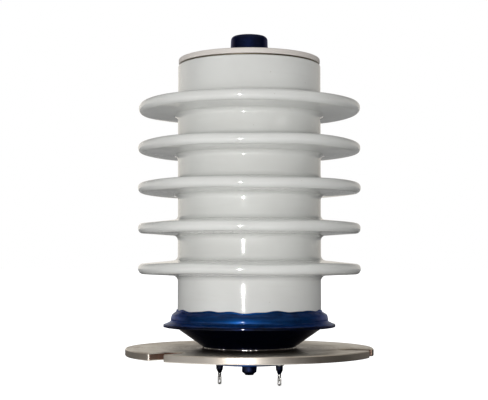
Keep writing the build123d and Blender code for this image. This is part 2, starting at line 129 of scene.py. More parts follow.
class Shader(Nodes):
    """A node material round one Principled BSDF, with the textures and bumps that its detail needs."""

    def __init__(self, name, **sockets):
        self.material = bpy.data.materials.new(name)
        self.material.use_nodes = True
        super().__init__(self.material.node_tree)
        self.bsdf = next(n for n in self.tree.nodes if n.type == "BSDF_PRINCIPLED")
        self.bump_normal = None
        for socket, value in sockets.items():
            self.bsdf.inputs[socket.replace("_", " ")].default_value = value

    def radius(self):
        """Distance from the Z axis."""
        split = self.node("ShaderNodeSeparateXYZ")
        self.feed(split.inputs[0], self.coordinates)
        flat = self.node("ShaderNodeCombineXYZ")
        self.feed(flat.inputs["X"], split.outputs["X"])
        self.feed(flat.inputs["Y"], split.outputs["Y"])
        length = self.node("ShaderNodeVectorMath", operation="LENGTH")
        self.feed(length.inputs[0], flat.outputs[0])
        return self.math("MAXIMUM", length.outputs["Value"], 0.0001)

    def round_coordinates(self, around, along, planar=False):
        """Coordinates stretched round the Z axis with no seam.

        Detail comes out about 1 / around turns long and 1 / along metres across. They run along Z on a
        cylinder, or along the radius on a flat face.
        """
        split = self.node("ShaderNodeSeparateXYZ")
        self.feed(split.inputs[0], self.coordinates)
        x, y, z = split.outputs
        radius = self.radius()
        joined = self.node("ShaderNodeCombineXYZ")
        self.feed(joined.inputs["X"], self.math("MULTIPLY", self.math("DIVIDE", x, radius), around))
        self.feed(joined.inputs["Y"], self.math("MULTIPLY", self.math("DIVIDE", y, radius), around))
        self.feed(joined.inputs["Z"], self.math("MULTIPLY", radius if planar else z, along))
        return joined.outputs[0]

    def noise(self, scale, detail=2.0, roughness=0.5, vector=None, distortion=0.0):
        made = self.node("ShaderNodeTexNoise")
        self.feed(made.inputs["Vector"], self.coordinates if vector is None else vector)
        for socket, value in (("Scale", scale), ("Detail", detail), ("Roughness", roughness)):
            made.inputs[socket].default_value = value
        made.inputs["Distortion"].default_value = distortion
        return made.outputs["Fac"]

    def cells(self, scale):
        made = self.node("ShaderNodeTexVoronoi")
        self.feed(made.inputs["Vector"], self.coordinates)
        made.inputs["Scale"].default_value = scale
        return made.outputs["Distance"], made.outputs["Color"]

    def colour(self, output):
        self.feed(self.bsdf.inputs["Base Color"], output)

    def roughness(self, output):
        self.feed(self.bsdf.inputs["Roughness"], output)

    def bump(self, height, depth):
        """Adds a bump of depth metres where height goes from 0 to 1."""
        made = self.node("ShaderNodeBump")
        made.inputs["Strength"].default_value = 1.0
        made.inputs["Distance"].default_value = depth
        self.feed(made.inputs["Height"], height)
        if self.bump_normal is not None:
            self.feed(made.inputs["Normal"], self.bump_normal)
        self.bump_normal = made.outputs["Normal"]
        self.feed(self.bsdf.inputs["Normal"], self.bump_normal)


# ------------------------------------------------------------------------------------------------ materials
def glazed_porcelain():
    """Ivory glaze, faintly clouded and ringed from the turning under it, with a few dark specks."""
    shader = Shader("porcelain_glaze", Specular_IOR_Level=0.5, Coat_Weight=0.3, Coat_Roughness=0.03)
    cloud = shader.span(shader.noise(26, 3.0), 0.35, 0.68)
    colour = shader.blend(cloud, (0.800, 0.808, 0.790), (0.760, 0.765, 0.748))
    turning = shader.noise(1.0, 2.0, vector=shader.round_coordinates(1.4, 240))
    colour = shader.blend(shader.span(turning, 0.5, 0.75, 0.0, 0.35), colour, (0.745, 0.748, 0.725))
    distance, shade = shader.cells(190)
    speck = shader.math(
        "MULTIPLY", shader.span(distance, 0.05, 0.085, 1.0, 0.0), shader.span(shade, 0.62, 0.70)
    )
    colour = shader.blend(shader.math("MULTIPLY", speck, 0.40), colour, (0.42, 0.37, 0.30))
    shader.colour(colour)
    shader.roughness(shader.span(shader.noise(60, 3.0), 0.3, 0.7, 0.06, 0.11))
    shader.bump(turning, 0.00008)
    shader.bump(shader.noise(115, 2.0), 0.000028)
    shader.bump(speck, 0.00002)
    return shader.material


def enamel(name, tone, light_tone, flake=0.9, rough=(0.42, 0.54), coat=0.28, coat_rough=0.05):
    """Brushed gloss enamel over fine metal flake: strokes round the axis, thin places and a little dust."""
    shader = Shader(
        name, Metallic=flake, Specular_IOR_Level=0.1, Coat_Weight=coat, Coat_Roughness=coat_rough
    )
    shader.bsdf.inputs["Specular Tint"].default_value = (0.15, 0.40, 0.95, 1.0)
    strokes = shader.noise(1.0, 4.0, 0.6, vector=shader.round_coordinates(5.0, 620), distortion=0.3)
    patches = shader.noise(75, 3.0, 0.55)
    colour = shader.blend(shader.span(strokes, 0.35, 0.7), tone, light_tone)
    colour = shader.blend(shader.span(patches, 0.5, 0.75, 0.0, 0.6), colour, tuple(0.45 * c for c in tone))
    dust = shader.span(shader.noise(1500, 1.0), 0.70, 0.80, 0.0, 0.05)
    shader.colour(shader.blend(dust, colour, (0.30, 0.32, 0.36)))
    shader.roughness(shader.span(patches, 0.3, 0.7, *rough))
    shader.bump(strokes, 0.00004)
    shader.bump(shader.noise(230, 2.0), 0.00007)
    return shader.material


def matt_ceramic(name, tone, shadow_tone):
    """Unglazed ceramic, finely turned on its flat faces."""
    shader = Shader(name, Specular_IOR_Level=0.35)
    cloud = shader.span(shader.noise(60, 4.0, 0.6), 0.3, 0.7)
    rings = shader.noise(1.0, 2.0, vector=shader.round_coordinates(1.2, 1500, planar=True))
    grain = shader.noise(1900, 2.0)
    colour = shader.blend(cloud, tone, shadow_tone)
    ring_tone = tuple(0.86 * c for c in shadow_tone)
    grain_tone = tuple(0.72 * c for c in shadow_tone)
    colour = shader.blend(shader.span(rings, 0.45, 0.75, 0.0, 0.3), colour, ring_tone)
    colour = shader.blend(shader.span(grain, 0.62, 0.74, 0.0, 0.35), colour, grain_tone)
    shader.colour(colour)
    shader.roughness(shader.span(grain, 0.3, 0.7, 0.42, 0.6))
    shader.bump(rings, 0.00003)
    shader.bump(grain, 0.00002)
    return shader.material


def worked_metal(name, tone, stain, rough=(0.25, 0.42), around=3.0, planar=False, stain_scale=40):
    """Turned, spun or ground metal: fine lines round the axis, cloudy stains and small dents."""
    shader = Shader(name, Metallic=1.0)
    lines = shader.noise(1.0, 3.0, 0.6, vector=shader.round_coordinates(around, 1400, planar))
    clouds = shader.noise(stain_scale, 4.0, 0.62, distortion=0.4)
    colour = shader.blend(shader.span(clouds, 0.42, 0.72, 0.0, 0.6), tone, stain)
    colour = shader.blend(shader.span(lines, 0.5, 0.8, 0.0, 0.35), colour, tuple(0.7 * c for c in tone))
    shader.colour(colour)
    dulled = shader.span(clouds, 0.4, 0.8, 0.0, 0.10)
    shader.roughness(shader.math("ADD", shader.span(lines, 0.3, 0.7, *rough), dulled))
    shader.bump(lines, 0.00002)
    shader.bump(shader.noise(420, 2.0), 0.000016)
    return shader.material


def plated_flange():
    """Nickel plate on a punched and turned steel disc.

    It has rings on its flats and edge, brown tints, fine scratches, painted shade in a band round the pan,
    duller metal on its edge, and dark reddish-brown slot walls, partly bare cut metal and partly painted
    shade.
    """
    shader = Shader("flange_nickel", Metallic=1.0)
    rings = shader.noise(1.0, 3.0, 0.6, vector=shader.round_coordinates(2.0, 900, planar=True))
    lines = shader.noise(1.0, 2.0, 0.6, vector=shader.round_coordinates(2.5, 2600))
    clouds = shader.noise(24, 4.0, 0.62, distortion=0.5)
    tint = shader.noise(55, 3.0, 0.6)
    scratch = shader.node("ShaderNodeMapping")
    shader.feed(scratch.inputs["Vector"], shader.coordinates)
    scratch.inputs["Rotation"].default_value = (0, 0, radians(33))
    scratch.inputs["Scale"].default_value = (1.0, 26.0, 1.0)
    scratches = shader.span(shader.noise(60, 2.0, 0.5, vector=scratch.outputs[0]), 0.66, 0.74)
    colour = shader.blend(shader.span(clouds, 0.4, 0.72), (0.80, 0.755, 0.68), (0.66, 0.59, 0.50))
    colour = shader.blend(shader.span(tint, 0.50, 0.76, 0.0, 0.6), colour, (0.34, 0.225, 0.165))
    colour = shader.blend(shader.math("MULTIPLY", scratches, 0.4), colour, (0.75, 0.74, 0.71))
    upright = shader.node("ShaderNodeSeparateXYZ")
    shader.feed(upright.inputs[0], shader.node("ShaderNodeNewGeometry").outputs["Normal"])
    wall = shader.span(shader.math("ABSOLUTE", upright.outputs["Z"]), 0.3, 0.6, 1.0, 0.0)
    inside = shader.span(shader.radius(), FLANGE_R - 1.2 * MM, FLANGE_R - 0.6 * MM, 1.0, 0.0)
    # Slot walls go dark reddish brown: partly bare cut metal, partly painted shade in the slots.
    slot_walls_and_shade = shader.math("MULTIPLY", shader.math("MULTIPLY", wall, inside), 0.85)
    # Painted shade: the top darkens to brown towards the pan's foot, standing in for the shade round the
    # pan.
    painted_shade_round_pan = shader.span(shader.radius(), FOOT_R + 8 * MM, FOOT_R + 40 * MM, 0.92, 0.0)
    colour = shader.blend(painted_shade_round_pan, colour, (0.20, 0.155, 0.11))
    edge = shader.math("MULTIPLY", wall, shader.math("SUBTRACT", 1.0, inside))
    colour = shader.blend(shader.math("MULTIPLY", edge, 0.55), colour, (0.33, 0.285, 0.25))
    colour = shader.blend(slot_walls_and_shade, colour, (0.26, 0.135, 0.095))
    shader.colour(colour)
    dulled = shader.span(clouds, 0.4, 0.8, 0.0, 0.1)
    shader.roughness(shader.math("ADD", shader.span(rings, 0.3, 0.7, 0.28, 0.42), dulled))
    shader.bump(rings, 0.00002)
    shader.bump(lines, 0.00002)
    shader.bump(scratches, 0.00001)
    return shader.material


def pressed_powder():
    """The getter's grey pressed powder."""
    shader = Shader("getter_powder", Metallic=0.2)
    grain = shader.noise(2600, 3.0)
    shader.colour(shader.blend(shader.span(grain, 0.35, 0.65), (0.10, 0.10, 0.10), (0.24, 0.23, 0.22)))
    shader.roughness(shader.span(grain, 0.3, 0.7, 0.75, 0.95))
    shader.bump(grain, 0.00004)
    return shader.material


# enamel and copper tones, linear
NAVY = (0.0010, 0.033, 0.140)
NAVY_LIGHT = (0.0020, 0.054, 0.210)
STUD_NAVY = (0.0030, 0.0070, 0.034)
STUD_NAVY_LIGHT = (0.0050, 0.0105, 0.048)
NIGHT = (0.0014, 0.0022, 0.0070)
NIGHT_LIGHT = (0.0018, 0.0034, 0.0130)
COPPER = (0.80, 0.46, 0.31)

slot_materials = {
    "porcelain": glazed_porcelain(),
    "navy_enamel": enamel("navy_enamel_coat", NAVY, NAVY_LIGHT, coat=0.32, coat_rough=0.12),
    "pan_metal": enamel("pan_enamel_coat", NIGHT, NIGHT_LIGHT, flake=0.5, rough=(0.40, 0.52)),
    "weld_metal": worked_metal(
        "weld_scale", (0.40, 0.38, 0.35), (0.07, 0.063, 0.056), (0.10, 0.18), around=40, stain_scale=260
    ),
    "cover_ceramic": matt_ceramic("cover_bisque", (0.790, 0.745, 0.710), (0.755, 0.705, 0.665)),
    "seal_metal": worked_metal("seal_braze", (0.21, 0.185, 0.135), (0.09, 0.075, 0.055), (0.40, 0.54)),
    "flange_metal": plated_flange(),
    "nickel_iron": worked_metal("nickel_iron", (0.58, 0.56, 0.53), (0.42, 0.38, 0.34)),
    "terminal_ceramic": matt_ceramic("alumina", (0.86, 0.84, 0.79), (0.80, 0.77, 0.71)),
    "tag_metal": worked_metal(
        "tinned_tag", (0.46, 0.45, 0.43), (0.12, 0.115, 0.10), (0.14, 0.26), stain_scale=520
    ),
    "exhaust_metal": worked_metal("exhaust_copper", COPPER, (0.42, 0.22, 0.14)),
    "copper_rod": worked_metal("stem_copper", COPPER, (0.52, 0.28, 0.19)),
    "electrode_metal": worked_metal("electrode_alloy", (0.76, 0.50, 0.38), (0.50, 0.33, 0.26), planar=True),
    "shield_metal": worked_metal("spun_nickel", (0.62, 0.60, 0.57), (0.45, 0.42, 0.38)),
    "getter_alloy": pressed_powder(),
}
stud_enamel = enamel("stud_enamel_coat", STUD_NAVY, STUD_NAVY_LIGHT)
terminal_enamel = enamel("terminal_enamel_coat", NIGHT, STUD_NAVY)

# ------------------------------------------------------------------------------------------------- geometry
ARC_STEPS = 7
ON_AXIS = 1e-7  # a point nearer the axis than this is a pole
PEAK_OVER_RMS = 1.6  # of a sum of a few waves, about


def rounded(corners, longest=4 * MM):
    """A polyline through (radius, z, fillet radius) corners.

    Each fillet is an arc of ARC_STEPS chords, and runs much over the longest length are divided.
    """
    path = [Vector(corners[0][:2])]
    for before, (x, z, fillet), after in zip(corners, corners[1:], corners[2:]):
        here = Vector((x, z))
        to_last = (Vector(before[:2]) - here).normalized()
        to_next = (Vector(after[:2]) - here).normalized()
        half = to_last.angle(to_next) / 2
        if fillet <= 0:
            path.append(here)
            continue
        reach = fillet / tan(half)
        centre = here + (to_last + to_next).normalized() * fillet / sin(half)
        start, end = here + to_last * reach, here + to_next * reach
        for step in range(ARC_STEPS + 1):
            part = start.lerp(end, step / ARC_STEPS) - centre
            path.append(centre + part.normalized() * fillet)
    path.append(Vector(corners[-1][:2]))
    divided = [path[0]]
    for a, b in zip(path, path[1:]):
        count = max(1, round((b - a).length / longest))
        divided += [a.lerp(b, (n + 1) / count) for n in range(count)]
    return [(p.x, p.y) for p in divided]


def turned(name, profile, segments=192, centre=(0.0, 0.0), closed=True, change=None):
    """A solid of revolution.

    A closed profile is a loop clear of the axis; an open one starts and ends on it. change(angle, radius, z)
    may return a slightly different (radius, z), for what isn't perfectly round.
    """
    verts, rings = [], []
    points = profile[:-1] if closed and profile[0] == profile[-1] else profile
    for r, z in points:
        if r < ON_AXIS:
            rings.append([len(verts)])
            verts.append((centre[0], centre[1], z))
            continue
        ring = []
        for n in range(segments):
            angle = TURN * n / segments
            rr, zz = change(angle, r, z) if change else (r, z)
            ring.append(len(verts))
            verts.append((centre[0] + rr * cos(angle), centre[1] + rr * sin(angle), zz))
        rings.append(ring)
    faces = []
    pairs = list(zip(rings, rings[1:])) + ([(rings[-1], rings[0])] if closed else [])
    for low, high in pairs:
        for n in range(segments):
            m = (n + 1) % segments
            quad = [low[n % len(low)], low[m % len(low)], high[m % len(high)], high[n % len(high)]]
            quad = list(dict.fromkeys(quad))
            if len(quad) > 2:
                faces.append(quad)
    return solid(name, verts, faces)


def solid(name, verts, faces):
    """A smooth-shaded mesh object with its normals turned outwards."""
    mesh = bpy.data.meshes.new(name)
    mesh.from_pydata(verts, [], faces)
    work = bmesh.new()
    work.from_mesh(mesh)
    bmesh.ops.recalc_face_normals(work, faces=work.faces)
    work.to_mesh(mesh)
    work.free()
    mesh.shade_smooth()
    made = bpy.data.objects.new(name, mesh)
    bpy.context.scene.collection.objects.link(made)
    return made


def place(piece, slot, nodes=(), material=None):
    """Gives a piece its material (the slot's, unless one is given) and its body, and hides its CAD nodes."""
    piece.data.materials.clear()
    piece.data.materials.append(material or slot_materials[slot])
    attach(piece, "root")
    if nodes:
        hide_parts(*nodes)
    return piece


def waves(seed, terms, size):
    """A smooth random function of angle, of about the given size, that closes on itself."""
    draw = Random(seed)
    parts = [(k, draw.uniform(0.4, 1.0), draw.uniform(0, TURN)) for k in terms]
    scale = size / sqrt(sum(a * a for _, a, _ in parts) / 2) / PEAK_OVER_RMS
    return lambda angle: scale * sum(a * sin(k * angle + phase) for k, a, phase in parts)


def smooth(value, low, high):
    """Rises from 0 at low to 1 at high, level at both ends."""
    t = min(1.0, max(0.0, (value - low) / (high - low)))
    return t * t * (3 - 2 * t)


# ------------------------------------------------------------------------------------------------ porcelain
SHED_COUNT = 5
WALL = 8.0 * MM  # of the tube
SHED_TOP_SLOPE = radians(5.7)
SHED_UNDER_SLOPE = radians(3.0)
SHED_RIM = 3.7 * MM  # radius of the rim's rounding
ROOT_FILLET = 3.6 * MM
ROOT_CHAMFER = 3.0 * MM
SHED_WARP = 0.35 * MM  # up and down
SHED_SWELL = 0.22 * MM  # in and out
WALL_SWELL = 0.10 * MM
PORCELAIN_SEGMENTS = 256

tube_low, tube_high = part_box("porcelain_tube")
body_r = tube_high.x
shed_nodes = [f"porcelain_shed_{n + 1}" for n in range(SHED_COUNT)]
shed_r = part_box(shed_nodes[0])[1].x
rim_r = shed_r - SHED_RIM
under_run = rim_r + SHED_RIM * sin(SHED_UNDER_SLOPE) - body_r - ROOT_CHAMFER
under_depth = ROOT_CHAMFER + under_run * tan(SHED_UNDER_SLOPE) + SHED_RIM * cos(SHED_UNDER_SLOPE)
shed_levels = [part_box(node)[0].z + under_depth for node in shed_nodes]  # heights of the rims' middles

corners = [(body_r - WALL, tube_low.z, 0), (body_r, tube_low.z, 0.6 * MM)]
for level in shed_levels:
    under = level - SHED_RIM / cos(SHED_UNDER_SLOPE)
    top = level + SHED_RIM / cos(SHED_TOP_SLOPE)
    corners += [
        (body_r, under - (rim_r - body_r) * tan(SHED_UNDER_SLOPE), ROOT_FILLET),
        (shed_r, under + SHED_RIM * tan(SHED_UNDER_SLOPE), SHED_RIM * 0.9),
        (shed_r, top - SHED_RIM * tan(SHED_TOP_SLOPE), SHED_RIM * 0.88),
        (body_r, top + (rim_r - body_r) * tan(SHED_TOP_SLOPE), ROOT_FILLET),
    ]
corners += [
    (body_r, tube_high.z, 1.3 * MM),
    (body_r - WALL, tube_high.z, 0.5 * MM),
    (body_r - WALL, (tube_low.z + tube_high.z) / 2, 0),
    (body_r - WALL, tube_low.z, 0),
]
shed_warps = [waves(40 + n, (2, 3, 5), SHED_WARP) for n in range(SHED_COUNT)]
shed_swells = [waves(60 + n, (2, 3, 4, 7), SHED_SWELL) for n in range(SHED_COUNT)]
wall_swell = waves(80, (2, 3, 4), WALL_SWELL)


def fired(angle, r, z):
    """The small warp that firing leaves in the sheds and the wall."""
    if r < body_r - 0.1 * MM:
        return r, z
    nearest = min(range(SHED_COUNT), key=lambda n: abs(shed_levels[n] - z))
    out = smooth(r, body_r, shed_r)
    clear_of_ends = smooth(z - tube_low.z, 2 * MM, 10 * MM) * smooth(tube_high.z - z, 2 * MM, 10 * MM)
    wall_shift = clear_of_ends * (1 - out) * wall_swell(angle + 0.4 * sin(30 * z))
    r += out * shed_swells[nearest](angle) + wall_shift
    return r, z + out * shed_warps[nearest](angle)


porcelain = turned("porcelain_body", rounded(corners), PORCELAIN_SEGMENTS, change=fired)
place(porcelain, "porcelain", ["porcelain_tube", *shed_nodes])

# -------------------------------------------------------------------------------------------------- top end
cover_low, cover_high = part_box("top_cover")
stud_low, stud_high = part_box("terminal_stud")
seal_low, seal_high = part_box("top_seal_ring")
SHANK_R = 7.0 * MM
GROOVE_DEPTH = 0.25 * MM  # the faint turned groove in the cover's top
cover_bore_r = SHANK_R + 0.1 * MM
cover_r = cover_high.x
cover = turned(
    "end_cover",
    rounded([
        (cover_bore_r, cover_low.z, 0),
        (cover_r - 0.2 * MM, cover_low.z, 0.25 * MM),
        (cover_r, cover_low.z + 0.8 * MM, 0.4 * MM),
        (cover_r, cover_high.z, 1.0 * MM),
        (cover_r - 6 * MM, cover_high.z, 0.5 * MM),
        (cover_r - 6.4 * MM, cover_high.z - GROOVE_DEPTH, 0.2 * MM),
        (cover_r - 7.4 * MM, cover_high.z - GROOVE_DEPTH, 0.2 * MM),
        (cover_r - 7.8 * MM, cover_high.z, 0.5 * MM),
        (cover_bore_r, cover_high.z, 0),
        (cover_bore_r, cover_low.z, 0),
    ], longest=6 * MM),
)
place(cover, "cover_ceramic", ["top_cover"])

seal_lump = waves(7, (5, 9, 17, 31), 0.10 * MM)
seal_r = seal_high.x
seal = turned(
    "cover_braze_ring",
    rounded([
        (body_r - WALL, seal_low.z, 0),
        (seal_r, seal_low.z, 0.3 * MM),
        (seal_r - 0.25 * MM, (seal_low.z + seal_high.z) / 2, 0.5 * MM),
        (seal_r, seal_high.z, 0.3 * MM),
        (body_r - WALL, seal_high.z, 0),
        (body_r - WALL, seal_low.z, 0),
    ]),
    PORCELAIN_SEGMENTS,
    change=lambda angle, r, z: (r + (seal_lump(angle) if r > seal_r - 1 * MM else 0.0), z),
)
place(seal, "seal_metal", ["top_seal_ring"])

HOLE_R = 6.25 * MM
MOUTH_R = 6.9 * MM
HOLE_DEPTH = 15.0 * MM
stud_foot_r = stud_high.x
stud_top_r = stud_foot_r - 0.5 * MM
stud_brush = waves(11, (1, 2, 3, 6), 0.07 * MM)


def brushed_stud(angle, r, z):
    """The uneven coat on the stud's side and top."""
    coated = r > 9 * MM and z > cover_high.z
    return r + (stud_brush(angle + 90 * z) if coated else 0.0), z


stud = turned(
    "enamelled_stud",
    rounded([
        (0, stud_low.z, 0),
        (SHANK_R, stud_low.z, 0.4 * MM),
        (SHANK_R, cover_high.z, 0),
        (stud_foot_r + 0.5 * MM, cover_high.z, 0.1 * MM),
        (stud_foot_r - 0.05 * MM, cover_high.z + 0.6 * MM, 0.5 * MM),
        (stud_top_r, stud_high.z, 3.0 * MM),
        (MOUTH_R, stud_high.z, 0.3 * MM),
        (HOLE_R, stud_high.z - (MOUTH_R - HOLE_R), 0.2 * MM),
        (HOLE_R, stud_high.z - HOLE_DEPTH, 0.2 * MM),
        (0, stud_high.z - HOLE_DEPTH, 0),
    ], longest=2.5 * MM),
    128,
    closed=False,
    change=brushed_stud,
)
place(stud, "navy_enamel", ["terminal_stud"], stud_enamel)

PITCH = 1.75 * MM  # M12
CORE_R = 5.1 * MM
THREAD_DEPTH = 0.85 * MM
THREAD_RINGS = 120
thread_top = stud_high.z - 1.2 * MM
thread_low = stud_high.z - HOLE_DEPTH + 0.2 * MM


def threaded(angle, r, z):
    """Cuts a right-hand thread in the inner wall."""
    if r > CORE_R + 0.01 * MM:
        return r, z
    phase = (z / PITCH - angle / TURN) % 1.0
    return r + THREAD_DEPTH * (1 - abs(2 * phase - 1)) * smooth(thread_top - z, 0.0, 1.0 * MM), z


levels = [thread_top + (thread_low - thread_top) * n / THREAD_RINGS for n in range(THREAD_RINGS + 1)]
thread = turned(
    "terminal_thread",
    [
        (HOLE_R, thread_low),
        (HOLE_R, thread_top + 0.5 * MM),
        (CORE_R + 0.6 * MM, thread_top + 0.3 * MM),
        *[(CORE_R, level) for level in levels],
    ],
    96,
    change=threaded,
)
place(thread, "nickel_iron")

# ------------------------------------------------------------------------------------------ collar and pan
collar_low, collar_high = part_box("collar_ring")
foot_low, foot_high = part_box("foot_weld")
rim_seam_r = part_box("rim_weld")[1].x
seam_z = collar_low.z
flange_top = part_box("mounting_flange")[1].z

COAT = 0.8 * MM  # the enamel's thickness where it laps onto the porcelain
COLLAR_BORE = 6 * MM  # how far in from the porcelain's outside the collar's skin ends
brush_edge = waves(21, (2, 3, 5, 8, 13, 21), 0.75 * MM)
drips = waves(22, (4, 7, 11, 16), 0.5 * MM)
collar_lump = waves(23, (3, 5, 9, 14), 0.12 * MM)
coat_dimple = waves(26, (41, 53, 64), 0.02 * MM)
edge_z = collar_high.z + 0.9 * MM
skin_r = body_r + 0.01 * MM


def brushed_on(angle, r, z):
    """The coat's hand-brushed upper edge on the porcelain, and its lumps."""
    if r > body_r + 0.02 * MM:
        r += collar_lump(angle + 10 * z) * smooth(r, body_r + 0.3 * MM, body_r + 3 * MM)
        r += coat_dimple(angle + 25 * z) * smooth(r, body_r + 0.1 * MM, body_r + 0.5 * MM)
    top = smooth(z, collar_high.z - 2.5 * MM, edge_z)
    ragged = brush_edge(angle) + max(0.0, drips(angle))
    return r, z + top * ragged


collar = turned(
    "enamelled_collar",
    rounded([
        (body_r - COLLAR_BORE, seam_z, 0),
        (rim_seam_r - 1.3 * MM, seam_z, 0.1 * MM),
        (rim_seam_r - 0.9 * MM, seam_z + 0.7 * MM, 0.3 * MM),
        (rim_seam_r - 4.5 * MM, seam_z + 2.4 * MM, 2.2 * MM),
        (body_r + 4.6 * MM, seam_z + 3.2 * MM, 0.7 * MM),
        (body_r + 4.7 * MM, seam_z + 4.8 * MM, 6.0 * MM),
        (body_r + 3.9 * MM, seam_z + 7.4 * MM, 3.0 * MM),
        (body_r + 1.6 * MM, collar_high.z - 0.7 * MM, 1.2 * MM),
        (body_r + COAT, collar_high.z - 0.2 * MM, 0.3 * MM),
        (body_r + COAT - 0.05 * MM, edge_z - 0.1 * MM, 0.45 * MM),
        (skin_r, edge_z, 0),
        (skin_r, seam_z + 4.5 * MM, 0),
        (body_r - COLLAR_BORE, seam_z + 4.4 * MM, 0),
        (body_r - COLLAR_BORE, seam_z, 0),
    ], longest=0.8 * MM),
    360,
    change=brushed_on,
)
place(collar, "navy_enamel", ["collar_ring"])

weld_lump = waves(24, (4, 9, 15, 26), 0.10 * MM)
weld_scale = waves(25, (47, 59, 72), 0.035 * MM)
weld_z = seam_z - 0.25 * MM
weld_back_r = rim_seam_r - 1.8 * MM
rim_bead = turned(
    "rim_weld_bead",
    rounded([
        (weld_back_r, weld_z - 0.8 * MM, 0),
        (rim_seam_r - 0.35 * MM, weld_z - 0.8 * MM, 0.4 * MM),
        (rim_seam_r - 0.15 * MM, weld_z, 3.4 * MM),
        (rim_seam_r - 0.4 * MM, weld_z + 0.9 * MM, 0.35 * MM),
        (weld_back_r, weld_z + 1.2 * MM, 0),
        (weld_back_r, weld_z - 0.8 * MM, 0),
    ], longest=0.4 * MM),
    720,
    change=lambda angle, r, z: (r + weld_lump(angle) * 0.6 + weld_scale(angle), z + weld_lump(angle + 2)),
)
# The rim bead takes the darker terminal enamel rather than the collar's navy: painted shade on the rim.
place(rim_bead, "navy_enamel", ["rim_weld"], terminal_enamel)

SHEET = 1.2 * MM
BEND_R = 51.5 * MM
WELD_LEG = 2.05 * MM
WALL_FLARE = 1.6  # the pan's wall is thicker at its foot by this much
foot_r = -foot_low.x - WELD_LEG
pan_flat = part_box("lower_pan")[1].z
pan_foot_z = flange_top + 0.05 * MM
cone_dx, cone_dz = foot_r - BEND_R, flange_top - (pan_flat - SHEET)
cone_wall = abs(cone_dz) / hypot(cone_dx, cone_dz) * SHEET * WALL_FLARE
pan_ripple = waves(31, (2, 3, 5), 0.12 * MM)
pan = turned(
    "enamelled_pan",
    rounded([
        (rim_seam_r - 1.2 * MM, pan_flat, 0),
        (BEND_R - 0.4 * MM, pan_flat, 3.4 * MM),
        (foot_r - cone_wall, pan_foot_z, 0),
        (foot_r, pan_foot_z, 0),
        (BEND_R, pan_flat - SHEET, 5.0 * MM),
        (rim_seam_r - 1.1 * MM, pan_flat - SHEET - 0.05 * MM, 0.4 * MM),
        (rim_seam_r - 0.7 * MM, pan_flat - 0.35 * MM, 0.3 * MM),
        (rim_seam_r - 1.2 * MM, pan_flat, 0),
    ], longest=1.5 * MM),
    288,
    change=lambda angle, r, z: (r + pan_ripple(angle) * smooth(r, foot_r + 2 * MM, BEND_R), z),
)
place(pan, "pan_metal", ["lower_pan"])

BEAD_RIPPLES = 58
RIPPLE_OUT = 0.9 * MM
RIPPLE_UP = 0.3 * MM
SEGMENTS_PER_RIPPLE = 8
bead_draw = Random(5)
ripple_sizes = [bead_draw.uniform(0.3, 1.0) ** 2.5 for _ in range(BEAD_RIPPLES)]
ripple_shifts = [0.3 * bead_draw.uniform(-0.25, 0.25) for _ in range(BEAD_RIPPLES)]


def beaded(angle, r, z):
    """Weld ripples: one rounded scale after another round the foot."""
    step = angle / TURN * BEAD_RIPPLES
    n = int(step) % BEAD_RIPPLES
    crest = sin(pi * min(1.0, max(0.0, step % 1.0 + ripple_shifts[n]))) ** 1.5
    height = smooth(r, foot_r + 0.3 * MM, foot_r + 1.1 * MM) * crest * ripple_sizes[n]
    return r + height * RIPPLE_OUT, z + height * RIPPLE_UP


foot_top = foot_high.z
foot_bead = turned(
    "foot_weld_bead",
    rounded([
        (foot_r - 0.05 * MM, flange_top, 0),
        (foot_r + 1.25 * MM, flange_top, 0.1 * MM),
        (foot_r + 1.45 * MM, flange_top + 0.9 * MM, 1.0 * MM),
        (foot_r + 0.9 * MM, foot_top - 0.1 * MM, 0.3 * MM),
        (foot_r + 0.3 * MM, foot_top - 0.5 * MM, 0.1 * MM),
        (foot_r - 0.05 * MM, flange_top, 0),
    ], longest=0.4 * MM),
    BEAD_RIPPLES * SEGMENTS_PER_RIPPLE,
    change=beaded,
)
place(foot_bead, "weld_metal", ["foot_weld"])

# ------------------------------------------------------------------------------------- below the flange
header_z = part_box("header")[0].z
cap_low, cap_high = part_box("exhaust_cap")
cap_r = cap_high.x
cap_lump = waves(51, (2, 3, 5, 9), 0.12 * MM)
cap = turned(
    "enamelled_cap",
    rounded([
        (0, cap_low.z, 0),
        (cap_r * 0.54, cap_low.z, 0.4 * MM),
        (cap_r * 0.66, cap_low.z + 0.9 * MM, 0.5 * MM),
        (cap_r * 0.97, cap_low.z + 2.1 * MM, 0.5 * MM),
        (cap_r, cap_low.z + 2.8 * MM, 0.5 * MM),
        (cap_r, cap_high.z - 0.5 * MM, 0.3 * MM),
        (cap_r + 0.5 * MM, cap_high.z, 0.1 * MM),
        (0, cap_high.z, 0),
    ], longest=1.0 * MM),
    96,
    closed=False,
    change=lambda angle, r, z: (r + cap_lump(angle + 200 * z), z),
)
place(cap, "navy_enamel", ["exhaust_cap"], stud_enamel)

